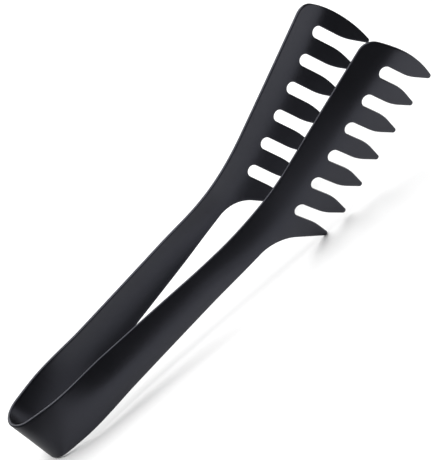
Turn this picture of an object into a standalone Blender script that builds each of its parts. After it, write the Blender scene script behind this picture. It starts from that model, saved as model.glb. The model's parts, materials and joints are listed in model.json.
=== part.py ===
"""Spring kitchen tongs with comb heads, moulded in one piece of nylon.

One flat strip is bent into a U. Its bend is the spring, its two sides are the handles,
and each side ends in a comb head with long tines for lifting pasta. The model makes the
whole moulding as one blank, and then divides it where it flexes and where the handle
turns into the comb. Lengths are in metres.

The blank is worked out in the strip's own frame: +X from the bend to the heads, +Y to
the left arm, +Z to the spine edge of the strip, with the middle of the bend at zero.
"""
import math

import bmesh
import bpy
import numpy as np
from mathutils import Matrix, Vector

# The strip
THICKNESS = 0.0020
EDGE_ROUNDING = 0.0005
BOW_HALF_WIDTH = 0.0173
SPINE_TAPER = math.radians(3.0)
BELLY_TAPER = math.radians(2.7)

# The bend and the two arms, seen from above
BOW_RADIUS = 0.0132
BOW_END_ANGLE = math.radians(18.1)
LEG_RADIUS = 0.195
ARM_SPLAY = math.radians(3.5)
ARM_FLARE_RADIUS = 3.7

# The lengthwise ridge that stiffens each arm
RIDGE_SOFTNESS = 0.006
HANDLE_RIDGE_SLOPE = 0.31
HEAD_RIDGE_SLOPE = 0.26
HANDLE_RIDGE_HEIGHT = -0.002
HEAD_RIDGE_DEPTH = 0.016
RIDGE_START = 0.012
RIDGE_FULL = 0.064

# The comb head, from the point where the spine has finished its upward bend
NECK_POSITION = 0.149
HEAD_ANGLE = math.radians(17.5)
SPINE_BEND_RADIUS = 0.173
HEAD_LENGTH = 0.0865
HEAD_CORNER_RADIUS = 0.009
HEAD_END_RADIUS = 0.073
HEAD_END_MIDDLE = 0.024
SLOT_COUNT = 6
SLOT_PITCH = 0.0178
SLOT_WIDTH = 0.0072
SLOT_ROOT_DEPTH = 0.0163
FIRST_SLOT_FROM_END = 0.015
TINE_DEPTH = 0.050
TINE_TAPER_START = 0.031
TINE_TAPER_RADIUS = 0.035
TINE_TIP_RADIUS = 0.0015
FIRST_TINE_EXTRA = 0.0005
LAST_TINE_SHORTER = 0.0028
LAST_TINE_OFFSET = 0.0074
LAST_TINE_BACK_ANGLE = math.radians(20.0)
THROAT_RADIUS = 0.024

# Where the moulding is divided, and the space left there
FLEX_POSITION = 0.030
COMB_START = 0.160
DIVISION_GAP = 0.0003

# Fineness of the facets
BOW_STEPS = 14
LEG_STEPS = 8
ARM_STEPS = 42
ARC_STEPS = 6
ROW_OFFSETS = (-0.044, -0.034, -0.025, -0.018, -0.012, -0.008, -0.005, -0.0025,
               0.0, 0.0025, 0.005, 0.008, 0.012, 0.017, 0.024)
OVERRUN = 0.006

NYLON_COLOUR = (0.030, 0.030, 0.034, 1.0)
NYLON_ROUGHNESS = 0.42


def smooth_step(value, low, high):
    """0 below low, 1 above high, and a smooth S between them."""
    t = np.clip((value - low) / (high - low), 0.0, 1.0)
    return t * t * (3.0 - 2.0 * t)


# ---------------------------------------------------------------- side outline

def spine_height(x):
    """Height of the strip's upper edge where it is straight, before the neck."""
    return BOW_HALF_WIDTH - x * math.tan(SPINE_TAPER)


def belly_height(x):
    """Height of the strip's lower edge, along the whole handle."""
    return -BOW_HALF_WIDTH + x * math.tan(BELLY_TAPER)


HEAD_X = NECK_POSITION + SPINE_BEND_RADIUS * (math.sin(HEAD_ANGLE) + math.sin(SPINE_TAPER))
HEAD_Z = (spine_height(NECK_POSITION)
          + SPINE_BEND_RADIUS * (math.cos(SPINE_TAPER) - math.cos(HEAD_ANGLE)))
FIRST_SLOT = HEAD_LENGTH - FIRST_SLOT_FROM_END
LAST_SLOT = FIRST_SLOT - (SLOT_COUNT - 1) * SLOT_PITCH
TINE_HALF_WIDTH = (SLOT_PITCH - SLOT_WIDTH) / 2


def head_point(along, depth):
    """A place on the head: along its spine from the neck bend, and down from the spine."""
    x = HEAD_X + along * math.cos(HEAD_ANGLE) + depth * math.sin(HEAD_ANGLE)
    z = HEAD_Z + along * math.sin(HEAD_ANGLE) - depth * math.cos(HEAD_ANGLE)
    return (x, z)


def arc(centre, radius, start, end, steps):
    """Points on a circle from one angle to another, both included."""
    return [(centre[0] + radius * math.cos(a), centre[1] + radius * math.sin(a))
            for a in np.linspace(start, end, steps + 1)]


def taper_angle(half_width, tip_depth):
    """Lean of the straight flank between a tine's shoulder arc and its round tip."""
    across = TINE_TAPER_RADIUS - half_width
    down = tip_depth - TINE_TIP_RADIUS - TINE_TAPER_START
    lean = math.acos((TINE_TAPER_RADIUS - TINE_TIP_RADIUS) / math.hypot(across, down))
    return math.atan2(down, across) - lean


def tine_side(middle, half_width, tip_depth, side):
    """Shoulder arc of one tine, from its parallel part down to its straight flank."""
    lean = taper_angle(half_width, tip_depth)
    centre = (half_width - TINE_TAPER_RADIUS, TINE_TAPER_START)
    points = arc(centre, TINE_TAPER_RADIUS, 0.0, lean, ARC_STEPS - 2)
    return [(middle + side * u, v) for u, v in points]


def tine_tip(middle, tip_depth, from_lean, to_lean):
    """Round tip, from the flank on the head-end side to the flank on the bow side."""
    centre = (middle, tip_depth - TINE_TIP_RADIUS)
    return arc(centre, TINE_TIP_RADIUS, from_lean, math.pi - to_lean, ARC_STEPS)


def slot_root(middle):
    """Round root of a slot, from its head-end side to its bow side."""
    radius = SLOT_WIDTH / 2
    return arc((middle, SLOT_ROOT_DEPTH + radius), radius, 0.0, -math.pi, 2 * ARC_STEPS)


def head_end():
    """End of the head: the rounded corner, the long curve of the end tine and its tip."""
    bulge = (HEAD_LENGTH - HEAD_END_RADIUS, HEAD_END_MIDDLE)
    inner = HEAD_END_RADIUS - HEAD_CORNER_RADIUS
    corner_angle = math.asin((HEAD_CORNER_RADIUS - bulge[1]) / inner)
    corner = (bulge[0] + inner * math.cos(corner_angle), HEAD_CORNER_RADIUS)
    depth = TINE_DEPTH + FIRST_TINE_EXTRA
    inner = HEAD_END_RADIUS - TINE_TIP_RADIUS
    tip_angle = math.asin((depth - TINE_TIP_RADIUS - bulge[1]) / inner)
    middle = bulge[0] + inner * math.cos(tip_angle)
    half_width = middle - (FIRST_SLOT + SLOT_WIDTH / 2)
    points = arc(corner, HEAD_CORNER_RADIUS, -math.pi / 2, corner_angle, ARC_STEPS)
    points += arc(bulge, HEAD_END_RADIUS, corner_angle, tip_angle, 2 * ARC_STEPS)[1:]
    lean = taper_angle(half_width, depth)
    points += tine_tip(middle, depth, tip_angle, lean)[1:]
    return points + tine_side(middle, half_width, depth, -1)[::-1]


def last_tine_middle():
    return LAST_SLOT - LAST_TINE_OFFSET


def last_tine():
    """Bow-side tine: a normal flank towards the slot, and a leaning back."""
    middle = last_tine_middle()
    depth = TINE_DEPTH - LAST_TINE_SHORTER
    half_width = LAST_TINE_OFFSET - SLOT_WIDTH / 2
    lean = taper_angle(half_width, depth)
    points = tine_side(middle, half_width, depth, 1)
    return points + tine_tip(middle, depth, lean, LAST_TINE_BACK_ANGLE)


def throat():
    """Hollow curve from the last tine's back to the belly edge, as strip points."""
    middle = last_tine_middle()
    centre = head_point(middle, TINE_DEPTH - LAST_TINE_SHORTER - TINE_TIP_RADIUS)
    back = HEAD_ANGLE + LAST_TINE_BACK_ANGLE
    normal = Vector((-math.cos(back), -math.sin(back)))
    start = Vector(centre) + TINE_TIP_RADIUS * normal
    rise = Vector((-math.sin(back), math.cos(back)))
    belly = Vector((math.cos(BELLY_TAPER), math.sin(BELLY_TAPER)))
    origin = Vector((0.0, belly_height(0.0)))
    gap = origin - start
    reach = (gap.x * belly.y - gap.y * belly.x) / (rise.x * belly.y - rise.y * belly.x)
    corner = start + reach * rise
    turn = math.acos(max(-1.0, min(1.0, rise.dot(-belly))))
    setback = THROAT_RADIUS * math.tan(turn / 2)
    first = corner - setback * rise
    away = Vector((-rise.y, rise.x))
    middle_point = first + THROAT_RADIUS * away
    begin = math.atan2(-away.y, -away.x)
    return arc(middle_point, THROAT_RADIUS, begin, begin + turn, 2 * ARC_STEPS)


def side_outline():
    """The moulding seen from the side, as one closed list of (x, z) points."""
    bend = (NECK_POSITION + SPINE_BEND_RADIUS * math.sin(SPINE_TAPER),
            spine_height(NECK_POSITION) + SPINE_BEND_RADIUS * math.cos(SPINE_TAPER))
    points = [(-OVERRUN, spine_height(-OVERRUN))]
    points += arc(bend, SPINE_BEND_RADIUS, -math.pi / 2 - SPINE_TAPER,
                  -math.pi / 2 + HEAD_ANGLE, 2 * ARC_STEPS)
    head = head_end() + slot_root(FIRST_SLOT)
    lean = taper_angle(TINE_HALF_WIDTH, TINE_DEPTH)
    for index in range(1, SLOT_COUNT):
        middle = FIRST_SLOT - (index - 0.5) * SLOT_PITCH
        head += tine_side(middle, TINE_HALF_WIDTH, TINE_DEPTH, 1)
        head += tine_tip(middle, TINE_DEPTH, lean, lean)
        head += tine_side(middle, TINE_HALF_WIDTH, TINE_DEPTH, -1)[::-1]
        head += slot_root(FIRST_SLOT - index * SLOT_PITCH)
    head += last_tine()
    points += [head_point(u, v) for u, v in head]
    points += throat()
    points.append((-OVERRUN, belly_height(-OVERRUN)))
    return points


# ---------------------------------------------------------------- curved sheet

def plan_stations():
    """Middle line of the left half seen from above: x and y from the bend to the head."""
    turn = np.linspace(math.pi / 2, BOW_END_ANGLE, BOW_STEPS + 1)
    bow_x = BOW_RADIUS * (1.0 - np.sin(turn))
    bow_y = BOW_RADIUS * np.cos(turn)
    turn = np.linspace(BOW_END_ANGLE, ARM_SPLAY, LEG_STEPS + 1)[1:]
    leg_x = bow_x[-1] + LEG_RADIUS * (math.sin(BOW_END_ANGLE) - np.sin(turn))
    leg_y = bow_y[-1] + LEG_RADIUS * (np.cos(turn) - math.cos(BOW_END_ANGLE))
    far = head_point(HEAD_LENGTH, TINE_DEPTH)[0] + OVERRUN
    arm_x = np.linspace(leg_x[-1], far, ARM_STEPS + 1)[1:]
    run = arm_x - leg_x[-1]
    arm_y = leg_y[-1] + run * math.tan(ARM_SPLAY) + run ** 2 / (2 * ARM_FLARE_RADIUS)
    return np.concatenate([bow_x, leg_x, arm_x]), np.concatenate([bow_y, leg_y, arm_y])


def ridge_height(x):
    """Height of the ridge: level in the handle, and parallel to the spine in the head."""
    head = HEAD_Z + (x - HEAD_X) * math.tan(HEAD_ANGLE) - HEAD_RIDGE_DEPTH / math.cos(HEAD_ANGLE)
    share = smooth_step(x, NECK_POSITION - 0.02, HEAD_X)
    return HANDLE_RIDGE_HEIGHT * (1.0 - share) + head * share


def ridge_slope(x):
    """Slope of the flanks beside the ridge: none in the bend, full in handle and head."""
    rising = HANDLE_RIDGE_SLOPE * smooth_step(x, RIDGE_START, RIDGE_FULL)
    share = smooth_step(x, NECK_POSITION, HEAD_X)
    return rising * (1.0 - share) + HEAD_RIDGE_SLOPE * share


def curved_sheet():
    """Middle surface of the whole strip, both arms, as an open mesh of quads."""
    x, y = plan_stations()
    x = np.concatenate([x[:0:-1], x])[:, None]
    y = np.concatenate([y[:0:-1], -y])[:, None]
    offset = np.array(ROW_OFFSETS)[None, :]
    fall = ridge_slope(x) * (np.sqrt(offset ** 2 + RIDGE_SOFTNESS ** 2) - RIDGE_SOFTNESS)
    height = ridge_height(x) + offset
    grid = np.stack([x + 0 * offset, y - np.sign(y) * fall, height], axis=-1)
    count, rows = grid.shape[:2]
    index = np.arange(count * rows).reshape(count, rows)
    faces = np.stack([index[:-1, :-1], index[:-1, 1:], index[1:, 1:], index[1:, :-1]], axis=-1)
    mesh = bpy.data.meshes.new("strip_sheet")
    mesh.from_pydata(grid.reshape(-1, 3).tolist(), [], faces.reshape(-1, 4).tolist())
    return mesh


# ---------------------------------------------------------------- scene helpers

def clear_scene():
    for item in list(bpy.data.objects):
        bpy.data.objects.remove(item, do_unlink=True)


def new_collection(name):
    collection = bpy.data.collections.new(name)
    bpy.context.scene.collection.children.link(collection)
    return collection


def add_object(name, data, collection):
    item = bpy.data.objects.new(name, data)
    collection.objects.link(item)
    return item


def hide_guide(item):
    item.hide_render = True
    item.display_type = "WIRE"


def evaluated_mesh(item):
    """The object's mesh with its modifiers, its doubles merged."""
    bpy.context.view_layer.update()
    graph = bpy.context.evaluated_depsgraph_get()
    mesh = bpy.data.meshes.new_from_object(item.evaluated_get(graph))
    work = bmesh.new()
    work.from_mesh(mesh)
    bmesh.ops.remove_doubles(work, verts=work.verts, dist=1e-6)
    work.to_mesh(mesh)
    work.free()
    return mesh


def outline_prism(guides):
    """The side outline as a solid that reaches across both arms."""
    curve = bpy.data.curves.new("side_outline", "CURVE")
    curve.dimensions = "2D"
    curve.fill_mode = "BOTH"
    curve.extrude = 0.08
    points = side_outline()
    spline = curve.splines.new("POLY")
    spline.points.add(len(points) - 1)
    for point, (x, z) in zip(spline.points, points):
        point.co = (x, z, 0.0, 1.0)
    spline.use_cyclic_u = True
    flat = add_object("side_outline_curve", curve, guides)
    mesh = evaluated_mesh(flat)
    bpy.data.objects.remove(flat, do_unlink=True)
    mesh.transform(Matrix.Rotation(math.pi / 2, 4, "X"))
    prism = add_object("side_outline_prism", mesh, guides)
    hide_guide(prism)
    return prism


def moulding_blank(guides):
    """The whole tongs as one solid: sheet, wall thickness, outline and rounded edges."""
    blank = add_object("moulding_blank", curved_sheet(), guides)
    hide_guide(blank)
    wall = blank.modifiers.new("wall", "SOLIDIFY")
    wall.thickness = THICKNESS
    wall.offset = 0.0
    wall.use_even_offset = True
    trim = blank.modifiers.new("trim", "BOOLEAN")
    trim.operation = "INTERSECT"
    trim.solver = "EXACT"
    trim.object = outline_prism(guides)
    edge = blank.modifiers.new("edge", "BEVEL")
    edge.width = min(EDGE_ROUNDING, 0.4 * THICKNESS)
    edge.segments = 1
    edge.limit_method = "ANGLE"
    edge.angle_limit = math.radians(50.0)
    edge.use_clamp_overlap = True
    return blank


def region_box(name, low, high, guides):
    """A box cutter between two corners."""
    bpy.ops.mesh.primitive_cube_add(size=1.0)
    box = bpy.context.object
    box.name = name + "_region"
    middle = (Vector(low) + Vector(high)) / 2
    size = Vector(high) - Vector(low)
    box.data.transform(Matrix.Translation(middle) @ Matrix.Diagonal(size.to_4d()))
    for owner in list(box.users_collection):
        owner.objects.unlink(box)
    guides.objects.link(box)
    hide_guide(box)
    return box


def nylon(name):
    material = bpy.data.materials.new(name + "_nylon")
    material.use_nodes = True
    shader = material.node_tree.nodes["Principled BSDF"]
    shader.inputs["Base Color"].default_value = NYLON_COLOUR
    shader.inputs["Roughness"].default_value = NYLON_ROUGHNESS
    shader.inputs["Metallic"].default_value = 0.0
    material.diffuse_color = NYLON_COLOUR
    return material


def divide(name, blank_mesh, low, high, pivot, parts, guides, frame):
    """One named stretch of the blank, with its origin on the line it flexes about."""
    mesh = blank_mesh.copy()
    mesh.name = name
    mesh.transform(Matrix.Translation(-Vector(pivot)))
    mesh.materials.clear()
    mesh.materials.append(nylon(name))
    item = add_object(name, mesh, parts)
    item.location = pivot
    cut = item.modifiers.new("region", "BOOLEAN")
    cut.operation = "INTERSECT"
    cut.solver = "EXACT"
    cut.object = region_box(name, low, high, guides)
    item.parent = frame
    cut.object.parent = frame
    return item


def resting_frame(mesh, parts):
    """An empty that sets the tongs down on the bend's lower rim and the tine tips.

    Its tilt lifts the heads until the lowest tine is level with the bend's lower corner,
    and its place puts the middle of the box's floor at the origin.
    """
    places = np.array([vertex.co for vertex in mesh.vertices])
    bend = places[places[:, 0] < BOW_RADIUS]
    heel = bend[np.argmin(bend[:, 2])]
    head = places[places[:, 0] > COMB_START]
    tilt = -np.min(np.arctan2(head[:, 2] - heel[2], head[:, 0] - heel[0]))
    turned = places @ np.array(Matrix.Rotation(-tilt, 3, "Y")).T
    low = turned.min(axis=0)
    high = turned.max(axis=0)
    frame = add_object("resting_frame", None, parts)
    frame.rotation_euler = (0.0, -tilt, 0.0)
    frame.location = (-(low[0] + high[0]) / 2, 0.0, -low[2])
    return frame


def flex_point(side):
    """Where an arm flexes from the bend: on the strip's middle surface."""
    x, y = plan_stations()
    return (FLEX_POSITION, side * float(np.interp(FLEX_POSITION, x, y)), 0.0)


def build():
    clear_scene()
    parts = new_collection("spring_tongs")
    guides = new_collection("guides")
    blank = moulding_blank(guides)
    mesh = evaluated_mesh(blank)
    blank.modifiers.clear()
    bpy.data.objects.remove(blank, do_unlink=True)
    frame = resting_frame(mesh, parts)
    gap = DIVISION_GAP / 2
    back = -0.05
    far = 0.5
    wide = 0.1
    divide("spring_bow", mesh, (back, -wide, -wide), (FLEX_POSITION - gap, wide, wide),
           (0.0, 0.0, 0.0), parts, guides, frame)
    for name, side in (("left", 1), ("right", -1)):
        low_y, high_y = sorted((0.0, side * wide))
        divide(name + "_handle", mesh, (FLEX_POSITION + gap, low_y, -wide),
               (COMB_START - gap, high_y, wide), flex_point(side), parts, guides, frame)
        divide(name + "_comb", mesh, (COMB_START + gap, low_y, -wide),
               (far, high_y, wide), flex_point(side), parts, guides, frame)


build()
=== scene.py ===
"""Looks of the one-piece spring tongs: the moulding's fine surface, its nylon and a studio stage.

The moulding is made as two halves that meet in the middle of the spring bow. Each half is
a wall of even thickness on a curved middle surface. Places on that surface are given by
two numbers: the way along the strip from the middle of the bow, and the height. The wall's
faces fill the outline of the strip, and a rounded edge profile is carried along it.
"""

import json
import math

import bpy
import numpy as np
from bpy.props import FloatProperty, FloatVectorProperty, IntProperty, PointerProperty
from mathutils import Matrix, Vector
from mathutils.geometry import delaunay_2d_cdt


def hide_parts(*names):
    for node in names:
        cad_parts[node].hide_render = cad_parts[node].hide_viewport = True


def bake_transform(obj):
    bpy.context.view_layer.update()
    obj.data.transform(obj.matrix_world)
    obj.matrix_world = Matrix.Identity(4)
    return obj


bl_info = {
    "name": "One-piece spring tongs",
    "version": (1, 0, 0),
    "blender": (4, 5, 0),
    "location": "3D View > Sidebar > Tongs",
    "description": "Makes moulded nylon pasta tongs and a pale studio around them",
    "category": "Add Mesh",
}

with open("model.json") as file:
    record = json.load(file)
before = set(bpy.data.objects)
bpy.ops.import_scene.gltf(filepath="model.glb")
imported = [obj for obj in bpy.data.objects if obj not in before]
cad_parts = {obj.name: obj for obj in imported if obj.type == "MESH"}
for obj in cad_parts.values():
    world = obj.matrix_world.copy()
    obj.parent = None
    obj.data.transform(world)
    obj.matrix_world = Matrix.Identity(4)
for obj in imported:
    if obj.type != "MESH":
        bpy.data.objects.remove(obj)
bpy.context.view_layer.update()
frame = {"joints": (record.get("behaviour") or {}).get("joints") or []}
MM = 0.001

# Spacing of the mesh's points: along the outline, beside the seam in the middle of the bow,
# on the bow's stretch, and over the faces along and across the strip.
EDGE_STEP = 1.1 * MM
SEAM_STEP = 0.05 * MM
BOW_STEP = 0.8 * MM
BOW_STRETCH = 30 * MM
FACE_STEP = 1.5 * MM
ROW_STEP = 1.25 * MM
ROWS_BELOW_RIDGE = 60
ROWS_ABOVE_RIDGE = 39
FACE_CLEARANCE = 0.55 * MM
PROFILE_STEPS = 6
POINTS_AT_A_TIME = 400
FILL_INSIDE = 1  # the filler's choice of triangles inside the ring only
SAME_PLACE = 1e-9
EDGE_LIMIT = 0.49  # largest edge radius, as a share of the wall
SLOPE_STEP = 0.01 * MM
SMOOTH_LIMIT = math.radians(60.0)

# The strip lies in a frame of its own, tilted so that the tongs rest on bow and tines.
LEFT_JOINT = next(joint for joint in frame["joints"] if joint["child"] == "left_arm")
FLEX_AXIS = Vector(LEFT_JOINT["axis"]).normalized()
STRIP_TILT = math.atan2(FLEX_AXIS.x, -FLEX_AXIS.z)
STRIP_TURN = Matrix.Rotation(-STRIP_TILT, 3, "Y")


def linear(hex_colour):
    """Linear RGBA of an sRGB colour written as hex digits."""
    channels = [int(hex_colour[i:i + 2], 16) / 255 for i in (0, 2, 4)]
    curve = [c / 12.92 if c <= 0.04045 else ((c + 0.055) / 1.055) ** 2.4 for c in channels]
    return (*curve, 1.0)


def length(name, description, default):
    """A length in metres, shown in the scene's unit."""
    return FloatProperty(name=name, description=description, default=default,
                         unit="LENGTH", precision=5)


def angle(name, description, degrees):
    """An angle given in degrees and kept in radians."""
    return FloatProperty(name=name, description=description, default=math.radians(degrees),
                         subtype="ANGLE")


def colour(name, description, hex_colour):
    """A colour given as sRGB hex digits and kept as linear RGBA."""
    return FloatVectorProperty(name=name, description=description, size=4, subtype="COLOR",
                               min=0.0, max=1.0, default=linear(hex_colour))


def number(name, description, default):
    """A plain number that can't be negative."""
    return FloatProperty(name=name, description=description, default=default, min=0.0)


def power(name, description, watts):
    """A light's power in watts."""
    return FloatProperty(name=name, description=description, default=watts, min=0.0,
                         unit="POWER")


class StripSizes(bpy.types.PropertyGroup):
    """Sizes of the strip: its wall, its bow, its plan curve and its ridge."""

    wall: length("Wall", "Thickness of the moulding", 2.0 * MM)
    edge_radius: length("Edge radius", "Rounding of every edge", 0.7 * MM)
    half_width: length("Half width", "Half the strip's width at the bow", 17.3 * MM)
    spine_taper: angle("Spine taper", "Slope of the upper edge along the handle", 3.0)
    belly_taper: angle("Belly taper", "Slope of the lower edge along the handle", 2.7)
    bow_radius: length("Bow radius", "Radius of the bend", 13.2 * MM)
    bow_end: angle("Bow end", "Direction of the strip where the bend ends", 18.1)
    leg_radius: length("Leg radius", "Radius of the gentle curve after the bend", 195.0 * MM)
    splay: angle("Splay", "Direction of the strip where the gentle curve ends", 3.5)
    flare_radius: length("Flare radius", "Radius of the long outward flare", 3.7)
    flex_at: length("Flex line", "Distance of the flex line from the bow", 30.0 * MM)
    bend_reach: length("Bend reach", "Spread of the bending beside the flex line", 25.0 * MM)
    handle_softness: length("Handle softness", "Width of the handle's ridge", 10.0 * MM)
    head_softness: length("Head softness", "Width of the head's ridge", 6.0 * MM)
    handle_slope: number("Handle flanks", "Slope of the flanks beside the handle's ridge", 0.44)
    head_slope: number("Head flanks", "Slope of the flanks beside the head's ridge", 0.26)
    handle_ridge: length("Handle ridge", "Height of the ridge in the handle", -2.0 * MM)
    ridge_rise: length("Ridge rise", "How far before the neck the ridge turns up", 20.0 * MM)
    head_ridge: length("Head ridge", "Depth of the ridge under the head's spine", 16.0 * MM)
    ridge_start: length("Ridge start", "Where the flanks begin to slope", 23.0 * MM)
    ridge_full: length("Ridge full", "Where the flanks have their full slope", 64.0 * MM)


class CombSizes(bpy.types.PropertyGroup):
    """Sizes of the comb head: its spine, slots and tines."""

    neck_at: length("Neck", "Where the spine begins to bend upwards", 149.0 * MM)
    head_angle: angle("Head angle", "Rise of the head's spine", 17.5)
    spine_bend: length("Spine bend", "Radius of the spine's upward bend", 173.0 * MM)
    head_length: length("Head length", "Length of the head after the bend", 86.5 * MM)
    corner: length("Corner", "Radius of the head's upper corner", 9.0 * MM)
    end_radius: length("End radius", "Radius of the end tine's long back", 73.0 * MM)
    end_middle: length("End middle", "Depth of the fullest point of that back", 24.0 * MM)
    slots: IntProperty(name="Slots", description="Number of slots", default=6, min=2)
    pitch: length("Pitch", "Distance from slot to slot", 17.8 * MM)
    slot_width: length("Slot width", "Width of the slots' parallel part", 7.2 * MM)
    slot_root: length("Slot root", "Depth of the slots' roots under the spine", 16.3 * MM)
    first_slot: length("First slot", "Distance of the first slot from the end", 15.0 * MM)
    tine_depth: length("Tine depth", "Depth of the tine tips under the spine", 50.0 * MM)
    taper_start: length("Taper start", "Depth at which the tines begin to taper", 31.0 * MM)
    taper_radius: length("Taper radius", "Radius of the tines' shoulders", 35.0 * MM)
    tip_radius: length("Tip radius", "Radius of the tine tips", 1.5 * MM)
    first_extra: length("End tine", "How much deeper the end tine reaches", 0.5 * MM)
    last_shorter: length("Last tine", "How much shorter the last tine is", 2.8 * MM)
    last_offset: length("Last tine offset", "Its tip's distance from the last slot", 7.4 * MM)
    last_back: angle("Last tine back", "Lean of the last tine's back", 20.0)
    throat: length("Throat", "Radius of the hollow between head and handle", 24.0 * MM)


class Finish(bpy.types.PropertyGroup):
    """Colour, gloss and texture of the nylon."""

    nylon: colour("Nylon", "Black of the nylon", "0f0f11")
    nylon_worn: colour("Nylon, greyer", "Greyer black where the texture is finer", "141417")
    sheen: colour("Sheen", "Cool tint of what the nylon mirrors", "e6e9ff")
    refraction: number("Refraction", "Index of refraction of the nylon", 1.49)
    roughness: number("Roughness", "Roughness of the satin mould finish", 0.35)
    unevenness: number("Unevenness", "How far the roughness strays both ways", 0.03)
    patch: length("Patch", "Size of the patches of greyer and blacker nylon", 25.0 * MM)
    grain: length("Grain", "Size of the mould texture's grains", 0.45 * MM)
    grain_height: length("Grain height", "Height of the grains", 0.03 * MM)
    grain_strength: number("Grain strength", "How much of that height the light sees", 0.12)


class StageSizes(bpy.types.PropertyGroup):
    """Floor, lights and cards of the studio; the cards paint dark reflections, a shadow and floor
    shade into the nylon's gloss.
    """

    floor: colour("Floor", "Colour of the studio floor", "f4f4f4")
    floor_radius: length("Floor radius", "Radius of the round floor", 1.15)
    floor_gap: length("Floor gap", "How far the floor lies under the tongs", 0.2 * MM)
    overhead: power("Overhead box", "Power of the large box over the tongs", 21.5)
    back: power("Back strip", "Power of the long box behind the tongs", 6.0)
    room: number("Room", "Strength of the white room as a light", 0.25)
    backdrop: number("Backdrop", "Strength of the white room as it is seen", 0.85)
    # The black cards paint dark reflections, and a shadow in front of the right handle, into the
    # nylon's gloss.
    black: colour("Black card", "Colour of the upright black cards", "0a0a0a")
    # The grey cards paint shade on the floor that the nylon mirrors.
    grey: colour("Grey card", "Colour of the lying grey cards", "bcbcbc")
    painted_dark_reflection_height: length("Flag height", "Height of the two large black cards", 200.0 * MM)
    painted_shadow_height: length("Sill height", "Height of the low black card", 6.0 * MM)
    painted_shade_lift: length("Card lift", "Height of the lying cards", 0.2 * MM)


class ViewSizes(bpy.types.PropertyGroup):
    """Where the camera stands."""

    azimuth: angle("Azimuth", "Direction of view, from straight across the tongs", 2.74)
    elevation: angle("Elevation", "How far the camera looks down", 31.38)
    roll: angle("Roll", "Turn of the picture about the view", -41.21)
    distance: length("Distance", "From the camera to the tongs", 0.9502)
    lens: number("Lens", "Focal length in millimetres", 130.4)
    sensor: number("Sensor", "Width and height of the sensor in millimetres", 36.0)
    target: FloatVectorProperty(name="Target", description="Point in the middle of the view",
                                size=3, subtype="TRANSLATION", unit="LENGTH",
                                default=(0.0083, 0.0017, 0.0346))


# ---------------------------------------------------------------- outline of the strip

def smooth_step(value, low, high):
    """0 below low, 1 above high, and 3t^2 - 2t^3 between them."""
    t = np.clip((value - low) / (high - low), 0.0, 1.0)
    return t * t * (3.0 - 2.0 * t)


def arc(centre, radius, start, end, steps):
    """Circle points: centre plus radius times the cosine and sine of evenly spaced angles."""
    turn = np.linspace(start, end, steps + 1)
    return np.stack([centre[0] + radius * np.cos(turn), centre[1] + radius * np.sin(turn)], 1)


def head_start(strip, comb):
    """Strip x and z of the point where the spine has finished its upward bend."""
    x = comb.neck_at + comb.spine_bend * (math.sin(comb.head_angle) + math.sin(strip.spine_taper))
    z = (strip.half_width - comb.neck_at * math.tan(strip.spine_taper)
         + comb.spine_bend * (math.cos(strip.spine_taper) - math.cos(comb.head_angle)))
    return x, z


def on_head(strip, comb, points):
    """Strip x, z of head points: a turn by the head angle, with depth counted downwards."""
    x, z = head_start(strip, comb)
    cosine, sine = math.cos(comb.head_angle), math.sin(comb.head_angle)
    along, depth = points[:, 0], points[:, 1]
    return np.stack([x + along * cosine + depth * sine, z + along * sine - depth * cosine], 1)


def flank_lean(comb, half_width, tip_depth):
    """Lean of the line that touches both a tine's shoulder circle and its tip circle."""
    across = comb.taper_radius - half_width
    down = tip_depth - comb.tip_radius - comb.taper_start
    lean = math.acos((comb.taper_radius - comb.tip_radius) / math.hypot(across, down))
    return math.atan2(down, across) - lean


def shoulder(comb, middle, half_width, tip_depth, side):
    """Arc from a tine's parallel side to its straight flank, mirrored by side."""
    lean = flank_lean(comb, half_width, tip_depth)
    centre = (half_width - comb.taper_radius, comb.taper_start)
    return arc(centre, comb.taper_radius, 0.0, lean, steps=8) * (side, 1.0) + (middle, 0.0)


def tip(comb, middle, tip_depth, lean_from, lean_to):
    """Arc of a tine's tip from one flank to the other."""
    centre = (middle, tip_depth - comb.tip_radius)
    return arc(centre, comb.tip_radius, lean_from, math.pi - lean_to, steps=14)


def slot_root(comb, middle):
    """Half circle at the root of a slot."""
    radius = comb.slot_width / 2
    return arc((middle, comb.slot_root + radius), radius, 0.0, -math.pi, steps=20)


def end_tine(comb, first_slot):
    """Head end: corner circle, long back and tip circle, each touching the next."""
    bulge = (comb.head_length - comb.end_radius, comb.end_middle)
    to_corner = comb.end_radius - comb.corner
    corner_turn = math.asin((comb.corner - bulge[1]) / to_corner)
    corner = (bulge[0] + to_corner * math.cos(corner_turn), comb.corner)
    depth = comb.tine_depth + comb.first_extra
    to_tip = comb.end_radius - comb.tip_radius
    tip_turn = math.asin((depth - comb.tip_radius - bulge[1]) / to_tip)
    middle = bulge[0] + to_tip * math.cos(tip_turn)
    half_width = middle - first_slot - comb.slot_width / 2
    return np.concatenate([
        arc(corner, comb.corner, -math.pi / 2, corner_turn, steps=16),
        arc(bulge, comb.end_radius, corner_turn, tip_turn, steps=30)[1:],
        tip(comb, middle, depth, tip_turn, flank_lean(comb, half_width, depth))[1:],
        shoulder(comb, middle, half_width, depth, -1)[::-1],
    ])


def middle_tine(comb, middle):
    """One symmetric tine: shoulder, tip and shoulder."""
    half_width = (comb.pitch - comb.slot_width) / 2
    lean = flank_lean(comb, half_width, comb.tine_depth)
    return np.concatenate([
        shoulder(comb, middle, half_width, comb.tine_depth, 1),
        tip(comb, middle, comb.tine_depth, lean, lean),
        shoulder(comb, middle, half_width, comb.tine_depth, -1)[::-1],
    ])


def last_tine(comb, last_slot):
    """The tine beside the throat: a shoulder towards its slot, and a leaning back."""
    middle = last_slot - comb.last_offset
    half_width = comb.last_offset - comb.slot_width / 2
    depth = comb.tine_depth - comb.last_shorter
    lean = flank_lean(comb, half_width, depth)
    return np.concatenate([
        shoulder(comb, middle, half_width, depth, 1),
        tip(comb, middle, depth, lean, comb.last_back),
    ])


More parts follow.
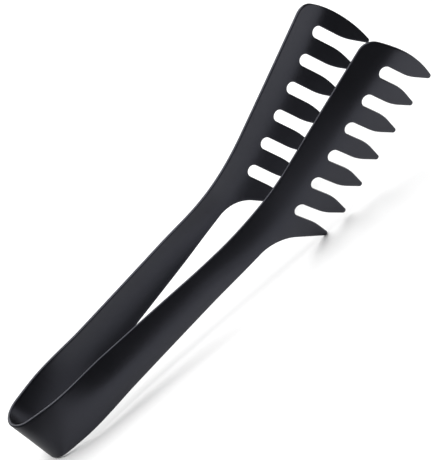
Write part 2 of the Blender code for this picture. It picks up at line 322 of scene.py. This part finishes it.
def throat(strip, comb, last_slot):
    """Arc that touches the last tine's back and the belly edge, in strip x and z."""
    depth = comb.tine_depth - comb.last_shorter - comb.tip_radius
    centre = on_head(strip, comb, np.array([[last_slot - comb.last_offset, depth]]))[0]
    back = comb.head_angle + comb.last_back
    rise = np.array([-math.sin(back), math.cos(back)])
    away = np.array([-rise[1], rise[0]])
    start = centre + comb.tip_radius * away
    belly = np.array([math.cos(strip.belly_taper), math.sin(strip.belly_taper)])
    gap = np.array([0.0, -strip.half_width]) - start
    reach = (gap[0] * belly[1] - gap[1] * belly[0]) / (rise[0] * belly[1] - rise[1] * belly[0])
    turn = math.acos(-float(rise @ belly))
    first = start + (reach - comb.throat * math.tan(turn / 2)) * rise
    begin = math.atan2(-away[1], -away[0])
    return arc(first + comb.throat * away, comb.throat, begin, begin + turn, steps=24)


def spine_bend(strip, comb):
    """Arc of the spine's upward bend, from the handle's taper to the head's rise."""
    taper = strip.spine_taper
    neck_z = strip.half_width - comb.neck_at * math.tan(taper)
    centre = (comb.neck_at + comb.spine_bend * math.sin(taper),
              neck_z + comb.spine_bend * math.cos(taper))
    return arc(centre, comb.spine_bend, -math.pi / 2 - taper, -math.pi / 2 + comb.head_angle,
               steps=30)


def comb_outline(strip, comb):
    """Spine bend, end tine, slots, tines and throat, in strip x and z."""
    slots = comb.head_length - comb.first_slot - comb.pitch * np.arange(comb.slots)
    head = [end_tine(comb, slots[0]), slot_root(comb, slots[0])]
    for slot in slots[1:]:
        head += [middle_tine(comb, slot + comb.pitch / 2), slot_root(comb, slot)]
    head.append(last_tine(comb, slots[-1]))
    return np.concatenate([spine_bend(strip, comb), on_head(strip, comb, np.concatenate(head)),
                           throat(strip, comb, slots[-1])])


def strip_outline(strip, comb):
    """Outline of one half as (way, height) points, from the bow's top round to its bottom."""
    edge = comb_outline(strip, comb)
    end_way, end_x, _ = leg_end(strip)
    edge[:, 0] += end_way - end_x
    spine_way = bow_ways(edge[0, 0])
    spine_x = plan_line(strip, spine_way)[0]
    belly_way = bow_ways(edge[-1, 0])[::-1]
    belly_x = plan_line(strip, belly_way)[0]
    top = np.stack([spine_way, strip.half_width - spine_x * math.tan(strip.spine_taper)], 1)
    bottom = np.stack([belly_way, belly_x * math.tan(strip.belly_taper) - strip.half_width], 1)
    return split_long(np.concatenate([top, edge, bottom]), EDGE_STEP)


def bow_ways(last):
    """Ways along a straight edge from the seam, with a very short first step."""
    return np.concatenate([[0.0, SEAM_STEP], np.arange(BOW_STEP, last - BOW_STEP / 2, BOW_STEP)])


def split_long(points, step):
    """The same polyline, with each side divided into equal pieces no longer than step."""
    sides = np.diff(points, axis=0)
    count = np.maximum(1, np.ceil(np.hypot(*sides.T) / step).astype(int))
    side = np.repeat(np.arange(len(sides)), count)
    share = (np.arange(len(side)) - np.repeat(np.cumsum(count) - count, count)) / count[side]
    return np.concatenate([points[side] + share[:, None] * sides[side], points[-1:]])


# ---------------------------------------------------------------- curved middle surface

def leg_end(strip):
    """Way, x and y where the gentle curve after the bend has ended."""
    bow_way = strip.bow_radius * (math.pi / 2 - strip.bow_end)
    way = bow_way + strip.leg_radius * (strip.bow_end - strip.splay)
    x = (strip.bow_radius * (1 - math.sin(strip.bow_end))
         + strip.leg_radius * (math.sin(strip.bow_end) - math.sin(strip.splay)))
    y = (strip.bow_radius * math.cos(strip.bow_end)
         + strip.leg_radius * (math.cos(strip.splay) - math.cos(strip.bow_end)))
    return way, x, y


def plan_line(strip, way):
    """Plan curve x, y: a circle, a wider circle and a parabola, joined with equal slopes."""
    bow_way = strip.bow_radius * (math.pi / 2 - strip.bow_end)
    bow_turn = math.pi / 2 - way / strip.bow_radius
    bow = (strip.bow_radius * (1 - np.sin(bow_turn)), strip.bow_radius * np.cos(bow_turn))
    leg_turn = strip.bow_end - (way - bow_way) / strip.leg_radius
    leg = (strip.bow_radius * (1 - math.sin(strip.bow_end))
           + strip.leg_radius * (math.sin(strip.bow_end) - np.sin(leg_turn)),
           strip.bow_radius * math.cos(strip.bow_end)
           + strip.leg_radius * (np.cos(leg_turn) - math.cos(strip.bow_end)))
    end_way, end_x, end_y = leg_end(strip)
    run = way - end_way
    arm = (end_x + run, end_y + run * math.tan(strip.splay) + run ** 2 / (2 * strip.flare_radius))
    return [np.where(way < bow_way, on_bow, np.where(way < end_way, on_leg, on_arm))
            for on_bow, on_leg, on_arm in zip(bow, leg, arm)]


def ridge_height(strip, comb, x):
    """Height of the ridge line: level in the handle, then parallel to the head's spine."""
    head_x, head_z = head_start(strip, comb)
    head = (head_z + (x - head_x) * math.tan(comb.head_angle)
            - strip.head_ridge / math.cos(comb.head_angle))
    share = smooth_step(x, comb.neck_at - strip.ridge_rise, head_x)
    return strip.handle_ridge * (1 - share) + head * share


def middle_surface(strip, comb, way, height):
    """Plan curve, less a hyperbola's fall to both sides of the ridge line: slope times
    (the root of offset squared plus softness squared, less softness)."""
    x, y = plan_line(strip, way)
    rising = strip.handle_slope * smooth_step(x, strip.ridge_start, strip.ridge_full)
    share = smooth_step(x, comb.neck_at, head_start(strip, comb)[0])
    slope = rising * (1 - share) + strip.head_slope * share
    softness = strip.handle_softness * (1 - share) + strip.head_softness * share
    offset = height - ridge_height(strip, comb, x)
    fall = slope * (np.hypot(offset, softness) - softness)
    return np.stack([x, y - fall, height + 0 * x], -1)


def wall_points(strip, comb, way, height, lift):
    """Middle surface plus lift along its normal, the cross product of its two slopes."""
    across = (middle_surface(strip, comb, way + SLOPE_STEP, height)
              - middle_surface(strip, comb, way - SLOPE_STEP, height))
    upward = (middle_surface(strip, comb, way, height + SLOPE_STEP)
              - middle_surface(strip, comb, way, height - SLOPE_STEP))
    normal = np.cross(upward, across)
    normal /= np.linalg.norm(normal, axis=-1, keepdims=True)
    return middle_surface(strip, comb, way, height) + lift[..., None] * normal


# ---------------------------------------------------------------- half of the moulding

def edge_profile(strip):
    """Inset and lift of the edge: a quarter circle, a flat and a quarter circle."""
    radius = min(strip.edge_radius, EDGE_LIMIT * strip.wall)
    turn = np.linspace(0.0, math.pi / 2, PROFILE_STEPS)
    inset = radius * (1 - np.sin(turn))
    lift = strip.wall / 2 - radius * (1 - np.cos(turn))
    return np.concatenate([inset, inset[::-1]]), np.concatenate([lift, -lift[::-1]])


def inward_normals(outline):
    """Mean of the two sides' right-hand normals, and straight up or down at the seam."""
    sides = np.diff(outline, axis=0)
    sides /= np.hypot(*sides.T)[:, None]
    normals = np.stack([sides[:, 1], -sides[:, 0]], 1)
    mean = np.concatenate([[[0.0, -1.0]], normals[1:] + normals[:-1], [[0.0, 1.0]]])
    return mean / np.hypot(*mean.T)[:, None]


def inside_clear(points, ring, clearance):
    """True where a point is inside the ring by even crossings, and clear of its corners."""
    start, end = ring, np.roll(ring, -1, axis=0)
    keep = []
    for block in np.array_split(points, max(1, len(points) // POINTS_AT_A_TIME)):
        px, pz = block[:, :1], block[:, 1:]
        spans = (start[:, 1] > pz) != (end[:, 1] > pz)
        rise = np.where(end[:, 1] == start[:, 1], 1.0, end[:, 1] - start[:, 1])
        cross = start[:, 0] + (pz - start[:, 1]) * (end[:, 0] - start[:, 0]) / rise
        odd = (spans & (px < cross)).sum(axis=1) % 2 == 1
        near = np.hypot(px - start[:, 0], pz - start[:, 1]).min(axis=1)
        keep.append(odd & (near > clearance))
    return np.concatenate(keep)


def ridge_rows():
    """Heights of the face's rows, counted from the ridge line."""
    return np.arange(-ROWS_BELOW_RIDGE, ROWS_ABOVE_RIDGE + 1) * ROW_STEP


def seam_points(strip, top, bottom):
    """Points on the seam in the middle of the bow, from the bottom up."""
    rows = ridge_rows() + strip.handle_ridge
    rows = rows[(rows > bottom + FACE_CLEARANCE) & (rows < top - FACE_CLEARANCE)]
    return np.stack([0.0 * rows, rows], 1)


def face_points(strip, comb, ring):
    """Grid points inside the ring, in rows that follow the ridge line."""
    low, high = ring.min(axis=0), ring.max(axis=0)
    way = np.concatenate([[SEAM_STEP], np.arange(BOW_STEP, BOW_STRETCH, BOW_STEP),
                          np.arange(BOW_STRETCH, high[0], FACE_STEP)])
    ridge = ridge_height(strip, comb, plan_line(strip, way)[0])
    grid_way, offset = np.meshgrid(way, ridge_rows(), indexing="ij")
    height = offset + ridge[:, None]
    points = np.stack([grid_way.ravel(), height.ravel()], 1)
    points = points[(points[:, 1] > low[1]) & (points[:, 1] < high[1])]
    seam = ring[np.abs(ring[:, 0]) < SEAM_STEP / 2, 1]
    beside_seam = ((points[:, 0] < BOW_STEP / 2)
                   & (points[:, 1] > seam.min() + FACE_CLEARANCE)
                   & (points[:, 1] < seam.max() - FACE_CLEARANCE))
    return points[inside_clear(points, ring, FACE_CLEARANCE) | beside_seam]


def fill(ring, inner):
    """Triangles of the ring and the points inside it, all turning the same way."""
    flat = np.concatenate([ring, inner])
    loop = np.arange(len(ring))
    sides = np.stack([loop, np.roll(loop, -1)], 1)
    _, _, faces, origins, _, _ = delaunay_2d_cdt([Vector(point) for point in flat.tolist()],
                                                 sides.tolist(), [], FILL_INSIDE, SAME_PLACE)
    triangles = np.array([origin[0] for origin in origins])[np.array(faces)]
    span = flat[triangles][:, 1:] - flat[triangles][:, :1]
    turned = span[:, 0, 0] * span[:, 1, 1] - span[:, 0, 1] * span[:, 1, 0] < 0
    triangles[turned] = triangles[turned][:, ::-1]
    return triangles


def half_mesh(name, strip, comb, side):
    """One half, with side -1 for its mirror image.

    The edge profile times the outline makes the edges. A triangulated fill of the ring
    inside them, lifted to both sides of the middle surface, makes the faces. One flat cap
    closes the seam in the middle of the bow.
    """
    outline = strip_outline(strip, comb)
    inset, lift = edge_profile(strip)
    edge = outline[:, None] + inset[:, None] * inward_normals(outline)[:, None]
    grid = np.arange(len(outline) * len(inset)).reshape(len(outline), len(inset))
    edge_places = wall_points(strip, comb, edge[..., 0], edge[..., 1],
                              np.broadcast_to(lift, grid.shape))
    seam = seam_points(strip, edge[0, 0, 1], edge[-1, 0, 1])
    ring = np.concatenate([edge[:, 0], seam])
    inner = face_points(strip, comb, ring)
    triangles = fill(ring, inner)
    face = np.concatenate([seam, inner])
    half_wall = np.full(len(face), strip.wall / 2)
    top = wall_points(strip, comb, face[:, 0], face[:, 1], half_wall)
    bottom = wall_points(strip, comb, face[:, 0], face[:, 1], -half_wall)
    places = np.concatenate([edge_places.reshape(-1, 3), top, bottom]) * (1.0, side, 1.0)
    places = places @ np.array(STRIP_TURN).T + np.array(strip_origin(strip))

    on_face = grid.size + np.arange(len(face))
    top_index = np.concatenate([grid[:, 0], on_face])
    bottom_index = np.concatenate([grid[:, -1], on_face + len(face)])
    quads = np.stack([grid[:-1, :-1], grid[1:, :-1], grid[1:, 1:], grid[:-1, 1:]], -1)
    on_seam = slice(len(outline), len(ring))
    cap = np.concatenate([grid[0], bottom_index[on_seam][::-1], grid[-1][::-1],
                          top_index[on_seam]])
    faces = [quads.reshape(-1, 4)[:, ::-side], top_index[triangles][:, ::-side],
             bottom_index[triangles][:, ::side]]
    return closed_mesh(name, places, faces, cap[::side])


def closed_mesh(name, places, faces, cap):
    """A mesh from arrays of faces and one cap, smooth but for the cap's sharp rim."""
    mesh = bpy.data.meshes.new(name)
    listed = [face for block in faces for face in block.tolist()] + [cap.tolist()]
    mesh.from_pydata(places.tolist(), [], listed)
    mesh.update()
    mesh.shade_smooth()
    mesh.set_sharp_from_angle(angle=SMOOTH_LIMIT)
    if mesh.validate(verbose=False):
        raise RuntimeError(f"{name} had faces that the mesh can't hold")
    return mesh


def strip_origin(strip):
    """Where the strip's own zero lies in the frame, from the flex line's place."""
    reach = STRIP_TURN @ Vector((strip.flex_at, 0.0, 0.0))
    pivot = Vector(LEFT_JOINT["pos_m"])
    return Vector((pivot.x, 0.0, pivot.z)) - reach


# ---------------------------------------------------------------- materials

def add_node(tree, kind, links=(), **settings):
    """Adds a node, sets its sockets and attributes, and links outputs into its inputs."""
    node = tree.nodes.new(kind)
    for key, value in settings.items():
        if key in node.inputs.keys():
            node.inputs[key].default_value = value
        else:
            setattr(node, key, value)
    for socket, output in links:
        tree.links.new(output, node.inputs[socket])
    return node


def satin_nylon(finish):
    """Black nylon 66, injection moulded against a spark-eroded steel mould.

    The mould leaves a fine even grain, which spreads highlights into a satin sheen. The
    grain is drawn near half a millimetre, coarser than the real tenth, so that it shows.
    """
    material = bpy.data.materials.new("satin_black_nylon")
    material.use_nodes = True
    tree = material.node_tree
    shader = tree.nodes["Principled BSDF"]
    place = add_node(tree, "ShaderNodeTexCoord").outputs["Object"]
    grain = add_node(tree, "ShaderNodeTexNoise", [("Vector", place)],
                     Scale=1.0 / finish.grain, Detail=2.0, Roughness=0.6)
    patches = add_node(tree, "ShaderNodeTexNoise", [("Vector", place)],
                       Scale=1.0 / finish.patch, Detail=2.0, Roughness=0.5)
    tone = add_node(tree, "ShaderNodeMix", [("Factor", patches.outputs["Fac"])], data_type="RGBA")
    tone.inputs["A"].default_value = finish.nylon
    tone.inputs["B"].default_value = finish.nylon_worn
    rough = add_node(tree, "ShaderNodeMapRange", [("Value", patches.outputs["Fac"])])
    rough.inputs["To Min"].default_value = finish.roughness - finish.unevenness
    rough.inputs["To Max"].default_value = finish.roughness + finish.unevenness
    bump = add_node(tree, "ShaderNodeBump", [("Height", grain.outputs["Fac"])],
                    Strength=finish.grain_strength, Distance=finish.grain_height)
    tree.links.new(tone.outputs["Result"], shader.inputs["Base Color"])
    tree.links.new(rough.outputs["Result"], shader.inputs["Roughness"])
    tree.links.new(bump.outputs["Normal"], shader.inputs["Normal"])
    shader.inputs["IOR"].default_value = finish.refraction
    shader.inputs["Specular Tint"].default_value = finish.sheen
    return material


def matt_paint(name, colour_value, gloss):
    """Matt studio paint of the floor and the cards, rolled on.

    It is too rough to show a highlight, and gives the nylon an even field to mirror.
    """
    material = bpy.data.materials.new(name)
    material.use_nodes = True
    shader = material.node_tree.nodes["Principled BSDF"]
    shader.inputs["Base Color"].default_value = colour_value
    shader.inputs["Roughness"].default_value = PAINT_ROUGHNESS
    shader.inputs["Specular IOR Level"].default_value = gloss
    return material


# ---------------------------------------------------------------- stage

# Floor places in metres: the lines that the upright cards stand on, and the corners of the lying
# ones.
# Every card shows only in the nylon's gloss, as a painted reflection. The two black flags spread
# in a wide V in front of the tongs and paint dark reflections into the upper flanks, and the
# black sill runs beside the right handle and paints a shadow in front of it. One grey card lies
# beyond the bow and the other under the left handle, and both paint shade on the floor that the
# nylon mirrors.
LEFT_DARK_REFLECTION = ((0.0, -0.24), (-0.45, 0.30))
RIGHT_DARK_REFLECTION = ((0.0, -0.24), (0.45, 0.10))
FRONT_PAINTED_SHADOW = ((-0.11, -0.09), (0.0, -0.09))
BOW_PAINTED_SHADE = ((-0.40, -0.20), (-0.145, -0.20), (-0.145, 0.20), (-0.40, 0.20))
INNER_PAINTED_SHADE = ((-0.12, 0.014), (0.03, 0.006), (0.045, 0.070), (-0.12, 0.070))
FLOOR_SIDES = 72
NEAREST_SEEN = 0.01
FARTHEST_SEEN = 20.0
PAINT_ROUGHNESS = 0.9


def soft_box(name, place, aim, size, power):
    """A rectangular soft light that looks at a point."""
    light = bpy.data.lights.new(name, "AREA")
    light.shape = "RECTANGLE"
    light.size, light.size_y = size
    light.energy = power
    item = bpy.data.objects.new(name, light)
    bpy.context.scene.collection.objects.link(item)
    item.location = place
    item.rotation_euler = (Vector(aim) - Vector(place)).to_track_quat("-Z", "Y").to_euler()


def flat_sheet(name, corners, material):
    """A flat piece of the stage with the given corners."""
    mesh = bpy.data.meshes.new(name)
    mesh.from_pydata(corners, [], [tuple(range(len(corners)))])
    mesh.materials.append(material)
    sheet = bpy.data.objects.new(name, mesh)
    bpy.context.scene.collection.objects.link(sheet)
    return sheet


def round_floor(name, stage, material):
    """A wide disc just under the tongs, which shows no corner in low views."""
    rim = arc((0.0, 0.0), stage.floor_radius, 0.0, math.tau, steps=FLOOR_SIDES)[:-1]
    flat_sheet(name, lying(rim.tolist(), -stage.floor_gap), material)


def card(name, corners, material):
    """A card that shows only in what the nylon mirrors: a painted reflection, which the camera,
    the diffuse light and the shadows don't see.
    """
    sheet = flat_sheet(name, corners, material)
    sheet.visible_camera = sheet.visible_diffuse = sheet.visible_shadow = False


def upright(line, height):
    """Corners of a card that stands on a line on the floor."""
    start, end = line
    return [(*start, 0.0), (*end, 0.0), (*end, height), (*start, height)]


def lying(corners, lift):
    """Corners of a level sheet, lifted from the height that the tongs rest on."""
    return [(x, y, lift) for x, y in corners]


def white_room(stage):
    """A white world, which is brighter as a backdrop than as a light."""
    world = bpy.data.worlds.new("white_room")
    world.use_nodes = True
    tree = world.node_tree
    seen = add_node(tree, "ShaderNodeLightPath").outputs["Is Camera Ray"]
    strength = add_node(tree, "ShaderNodeMapRange", [("Value", seen)])
    strength.inputs["To Min"].default_value = stage.room
    strength.inputs["To Max"].default_value = stage.backdrop
    background = tree.nodes["Background"]
    background.inputs["Color"].default_value = linear("ffffff")
    tree.links.new(strength.outputs["Result"], background.inputs["Strength"])
    return world


def add_camera(view):
    """A camera that looks at the target, turned about its own line of sight."""
    ahead = Vector((math.sin(view.azimuth) * math.cos(view.elevation),
                    math.cos(view.azimuth) * math.cos(view.elevation),
                    -math.sin(view.elevation)))
    level = ahead.cross(Vector((0.0, 0.0, 1.0))).normalized()
    square = level.cross(ahead)
    right = level * math.cos(view.roll) + square * math.sin(view.roll)
    up = right.cross(ahead)
    data = bpy.data.cameras.new("view_camera")
    data.lens = view.lens
    data.sensor_width = data.sensor_height = view.sensor
    data.clip_start, data.clip_end = NEAREST_SEEN, FARTHEST_SEEN
    camera = bpy.data.objects.new("view_camera", data)
    bpy.context.scene.collection.objects.link(camera)
    place = Vector(view.target) - view.distance * ahead
    turn = Matrix((right, up, -ahead)).transposed().to_4x4()
    camera.matrix_world = Matrix.Translation(place) @ turn
    bpy.context.scene.camera = camera


# ---------------------------------------------------------------- operators

class TONGS_OT_moulding(bpy.types.Operator):
    """Makes both halves of the moulding, in place of the frame's plain solids"""

    bl_idname = "tongs.moulding"
    bl_label = "Nylon moulding"

    def execute(self, context):
        strip, comb = context.scene.tongs_strip, context.scene.tongs_comb
        nylon = satin_nylon(context.scene.tongs_finish)
        for name, side in (("left", 1), ("right", -1)):
            mesh = half_mesh(f"{name}_half", strip, comb, side)
            mesh.materials.append(nylon)
            half = bpy.data.objects.new(f"{name}_half", mesh)
            context.scene.collection.objects.link(half)
            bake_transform(half)
            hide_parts("spring_bow", f"{name}_handle", f"{name}_comb")
        return {"FINISHED"}


class TONGS_OT_stage(bpy.types.Operator):
    """Makes the pale floor, the soft boxes, the cards of painted dark reflections and painted
    shade, and the camera
    """

    bl_idname = "tongs.stage"
    bl_label = "Studio stage"

    def execute(self, context):
        scene, stage = context.scene, context.scene.tongs_stage
        round_floor("floor", stage, matt_paint("matt_white_floor", stage.floor, gloss=0.1))
        soft_box("overhead_box", place=(0.0, 0.15, 1.1), aim=(0.0, 0.12, 0.0),
                 size=(1.5, 1.3), power=stage.overhead)
        black = matt_paint("black_for_painted_dark_reflections", stage.black, gloss=0.5)
        grey = matt_paint("grey_for_painted_floor_shade", stage.grey, gloss=0.5)
        # Painted dark reflections: two black flags that only the nylon's gloss sees.
        card("left_painted_dark_reflection", upright(LEFT_DARK_REFLECTION, stage.painted_dark_reflection_height), black)
        card("right_painted_dark_reflection", upright(RIGHT_DARK_REFLECTION, stage.painted_dark_reflection_height), black)
        # Painted shadow in front of the right handle, seen only in the nylon's gloss.
        card("front_painted_shadow", upright(FRONT_PAINTED_SHADOW, stage.painted_shadow_height), black)
        # Painted shade of the floor beyond the bow and under the left handle, seen only in the
        # nylon's gloss.
        card("bow_painted_shade", lying(BOW_PAINTED_SHADE, stage.painted_shade_lift), grey)
        card("inner_painted_shade", lying(INNER_PAINTED_SHADE, stage.painted_shade_lift), grey)
        soft_box("back_strip", place=(0.0, 1.3, 0.85), aim=(0.0, 0.0, 0.05),
                 size=(1.6, 0.35), power=stage.back)
        scene.world = white_room(stage)
        scene.view_settings.view_transform = "Standard"
        add_camera(scene.tongs_view)
        return {"FINISHED"}


class TONGS_PT_panel(bpy.types.Panel):
    """Lists the operators and the sizes"""

    bl_idname = "TONGS_PT_panel"
    bl_label = "Spring tongs"
    bl_space_type = "VIEW_3D"
    bl_region_type = "UI"
    bl_category = "Tongs"

    def draw(self, context):
        layout = self.layout
        for operator in OPERATORS:
            layout.operator(operator.bl_idname)
        for name in GROUPS:
            group = getattr(context.scene, name)
            box = layout.box()
            for key in group.__annotations__:
                box.prop(group, key)


GROUPS = {"tongs_strip": StripSizes, "tongs_comb": CombSizes, "tongs_finish": Finish,
          "tongs_stage": StageSizes, "tongs_view": ViewSizes}
OPERATORS = (TONGS_OT_moulding, TONGS_OT_stage)
CLASSES = (*GROUPS.values(), *OPERATORS, TONGS_PT_panel)


def register():
    """Registers the classes and gives every scene the groups of sizes."""
    for item in CLASSES:
        bpy.utils.register_class(item)
    for name, group in GROUPS.items():
        setattr(bpy.types.Scene, name, PointerProperty(type=group))


def unregister():
    """Takes back what register gave."""
    for name in GROUPS:
        delattr(bpy.types.Scene, name)
    for item in reversed(CLASSES):
        bpy.utils.unregister_class(item)


def main():
    """Makes the moulding and the stage."""
    register()
    bpy.ops.tongs.moulding()
    bpy.ops.tongs.stage()


if __name__ == "__main__":
    main()
